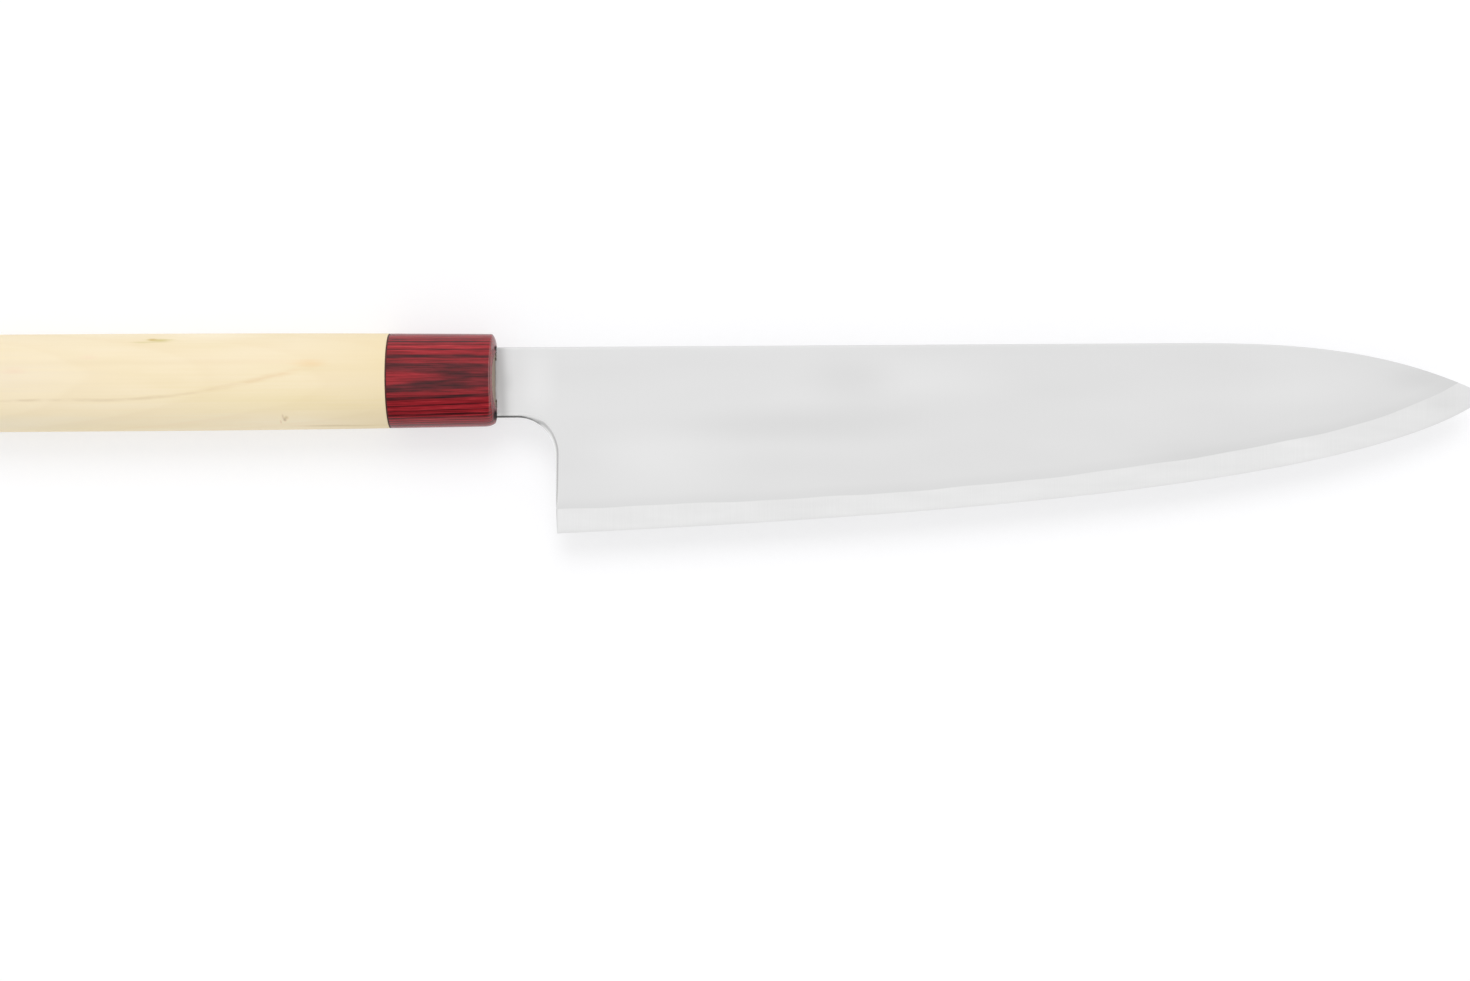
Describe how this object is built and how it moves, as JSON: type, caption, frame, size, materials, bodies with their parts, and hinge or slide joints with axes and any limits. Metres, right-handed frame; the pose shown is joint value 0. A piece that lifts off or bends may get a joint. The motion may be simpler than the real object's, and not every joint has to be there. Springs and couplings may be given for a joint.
{
  "type": "gyuto knife",
  "caption": "Japanese chef's knife with a laminated, double-bevel blade, bare core steel along the edge, and an oval wooden handle with a dark red ferrule, for slicing and chopping.",
  "frame": {"origin": "middle of the footprint of the knife as it lies on its left side, on the surface under it", "axes": "+X from the butt to the tip, +Y from the cutting edge to the spine, +Z out of the right-hand face of the blade"},
  "size_m": [0.3976, 0.0522, 0.02],
  "materials": {
    "core_steel": "polished",
    "cladding_steel": "satin",
    "bedding_resin": "matte",
    "ferrule_laminated_wood": "polished",
    "dark_glue": "satin",
    "handle_wood": "sanded"
  },
  "bodies": {
    "root": {"core_steel": "core_steel", "right_cladding": "cladding_steel", "left_cladding": "cladding_steel", "tang_bedding": "bedding_resin", "ferrule": "ferrule_laminated_wood", "ferrule_glue_line": "dark_glue", "handle_body": "handle_wood"}
  },
  "joints": []
}
